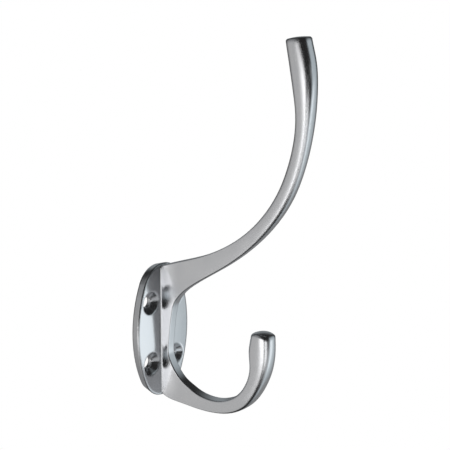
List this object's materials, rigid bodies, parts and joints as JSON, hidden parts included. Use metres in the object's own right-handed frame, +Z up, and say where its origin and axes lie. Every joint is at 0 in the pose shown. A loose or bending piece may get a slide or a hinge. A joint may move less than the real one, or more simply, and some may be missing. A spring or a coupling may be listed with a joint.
{
  "type": "hat and coat hook",
  "caption": "Cast wall hook with a tall swept hat arm above and a small upturned coat hook below, on an oval countersunk backplate.",
  "frame": {"origin": "middle of the backplate's flat back, on the wall", "axes": "+X across the backplate, +Y into the wall, +Z up; the arms reach out towards -Y"},
  "size_m": [0.0298, 0.0732, 0.146],
  "materials": {
    "casting": "satin"
  },
  "bodies": {
    "root": {"hook": "casting"}
  },
  "joints": []
}
